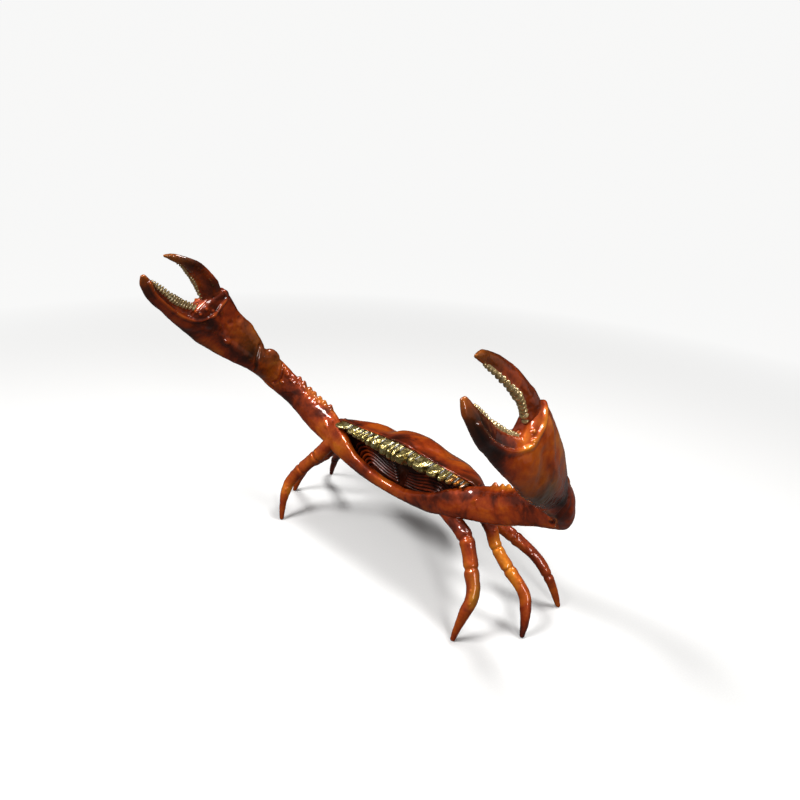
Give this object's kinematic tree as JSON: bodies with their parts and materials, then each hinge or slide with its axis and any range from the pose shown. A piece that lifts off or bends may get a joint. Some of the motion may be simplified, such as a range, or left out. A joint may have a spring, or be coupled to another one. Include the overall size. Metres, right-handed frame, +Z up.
{
  "type": "crab figurine",
  "caption": "Cast bronze crab ornament with a thin wavy shell, a row of nugget teeth, raised open claws and slim tapered legs that stand on any flat surface.",
  "frame": {"origin": "on the floor, under the middle of the overall box", "axes": "+X to the crab's right claw, which is on the viewer's right from the front, -Y to the crab's front, +Z up"},
  "size_m": [0.2914, 0.1816, 0.2106],
  "materials": {
    "patina_bronze": "hot red and brown patina on bronze under a glossy clear coat",
    "dark_bronze": "dark brown patina on bronze under a glossy clear coat",
    "gold_bronze": "bright bronze with dark hollows, glossy clear coat",
    "bare_bronze": "plain drawn bronze rod"
  },
  "bodies": {
    "root": {"carapace": "patina_bronze", "belly": "patina_bronze", "front_lip": "patina_bronze", "tooth_ridge": "gold_bronze", "mouth_plate": "dark_bronze", "right_upper_arm": "patina_bronze", "left_upper_arm": "patina_bronze", "right_wrist": "patina_bronze", "left_wrist": "patina_bronze", "right_palm": "patina_bronze", "left_palm": "patina_bronze", "right_moving_finger": "patina_bronze", "left_moving_finger": "patina_bronze", "right_fixed_teeth": "gold_bronze", "left_fixed_teeth": "gold_bronze", "right_moving_teeth": "gold_bronze", "left_moving_teeth": "gold_bronze", "right_front_leg": "patina_bronze", "right_middle_leg": "patina_bronze", "right_rear_leg": "patina_bronze", "left_front_leg": "patina_bronze", "left_middle_leg": "patina_bronze", "left_rear_leg": "patina_bronze", "dowel_pins": "bare_bronze"}
  },
  "joints": []
}
